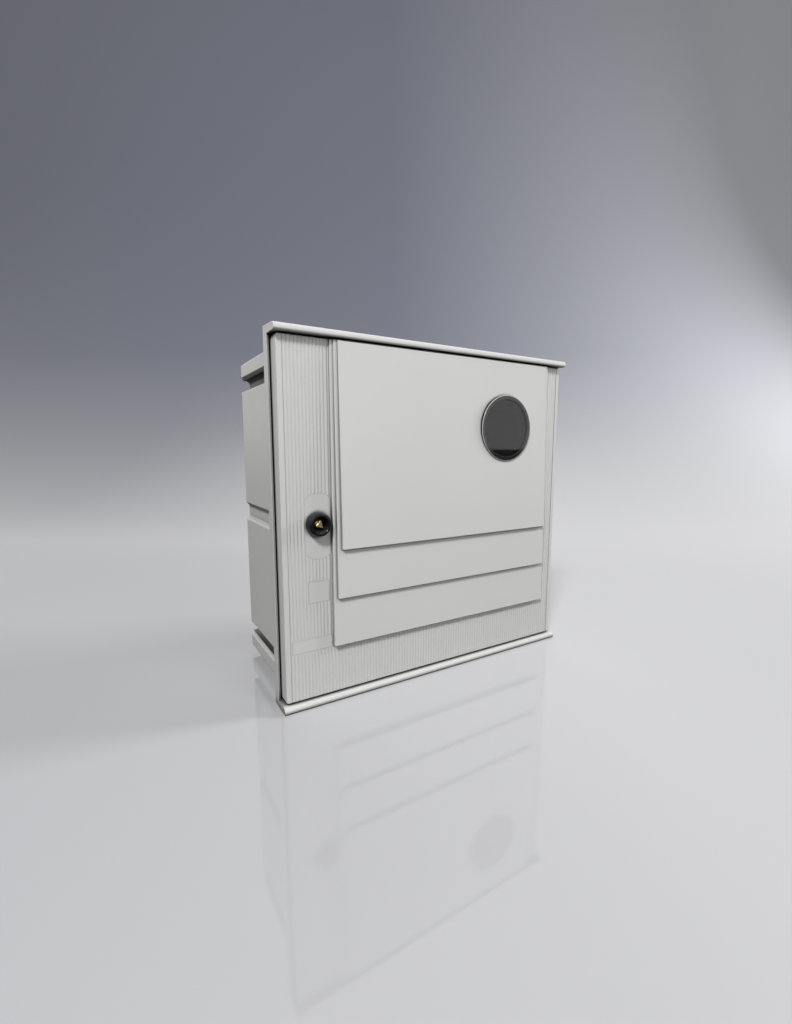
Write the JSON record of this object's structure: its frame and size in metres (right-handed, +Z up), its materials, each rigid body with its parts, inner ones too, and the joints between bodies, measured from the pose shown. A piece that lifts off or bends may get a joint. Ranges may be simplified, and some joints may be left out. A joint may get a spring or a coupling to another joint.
{
  "type": "electrical enclosure",
  "caption": "Flush-mounted electrical enclosure with a framed, reeded and stepped door on a side hinge, a round window and a quarter-turn triangular lock.",
  "frame": {"origin": "centre of the four wall fixing holes, on the outer back face of the box", "axes": "+Y into the wall, -Y out of the door's front, +Z up, +X to the hinge side"},
  "size_m": [0.52, 0.2415, 0.5081],
  "materials": {
    "shell": "satin",
    "door_grey": "satin",
    "lens_clear": "polished",
    "seal_rubber": "matte",
    "lock_black": "satin",
    "brass": "satin",
    "steel": "satin",
    "board": "matte",
    "ring_grey": "matte"
  },
  "bodies": {
    "case": {"back_box": "shell", "front_frame": "shell", "frame_screws": "steel", "keeper_plate": "steel", "keeper_screws": "steel", "mounting_plate": "board", "mounting_screws": "steel", "din_rail": "steel", "din_rail_screws": "steel", "cable_grommets": "seal_rubber"},
    "door": {"door_panel": "door_grey", "door_seal": "seal_rubber", "hinge_pin_upper": "steel", "hinge_pin_lower": "steel", "window_lens": "lens_clear", "window_seal": "seal_rubber", "window_clip_ring": "ring_grey", "window_ring_screws": "steel", "lock_barrel": "lock_black", "lock_seal": "seal_rubber", "lock_nut": "lock_black"},
    "lock_core": {"lock_spindle": "brass", "lock_cam": "steel", "lock_cam_screw": "steel"}
  },
  "joints": [
    {"name": "door_hinge", "type": "hinge", "parent": "case", "child": "door", "pos_m": [0.249, -0.216, 0], "axis": [0, 0, 1], "range_deg": [0, 105]},
    {"name": "lock_turn", "type": "hinge", "parent": "door", "child": "lock_core", "pos_m": [-0.2052, -0.226, 0.003], "axis": [0, 1, 0], "range_deg": [0, 90]}
  ]
}
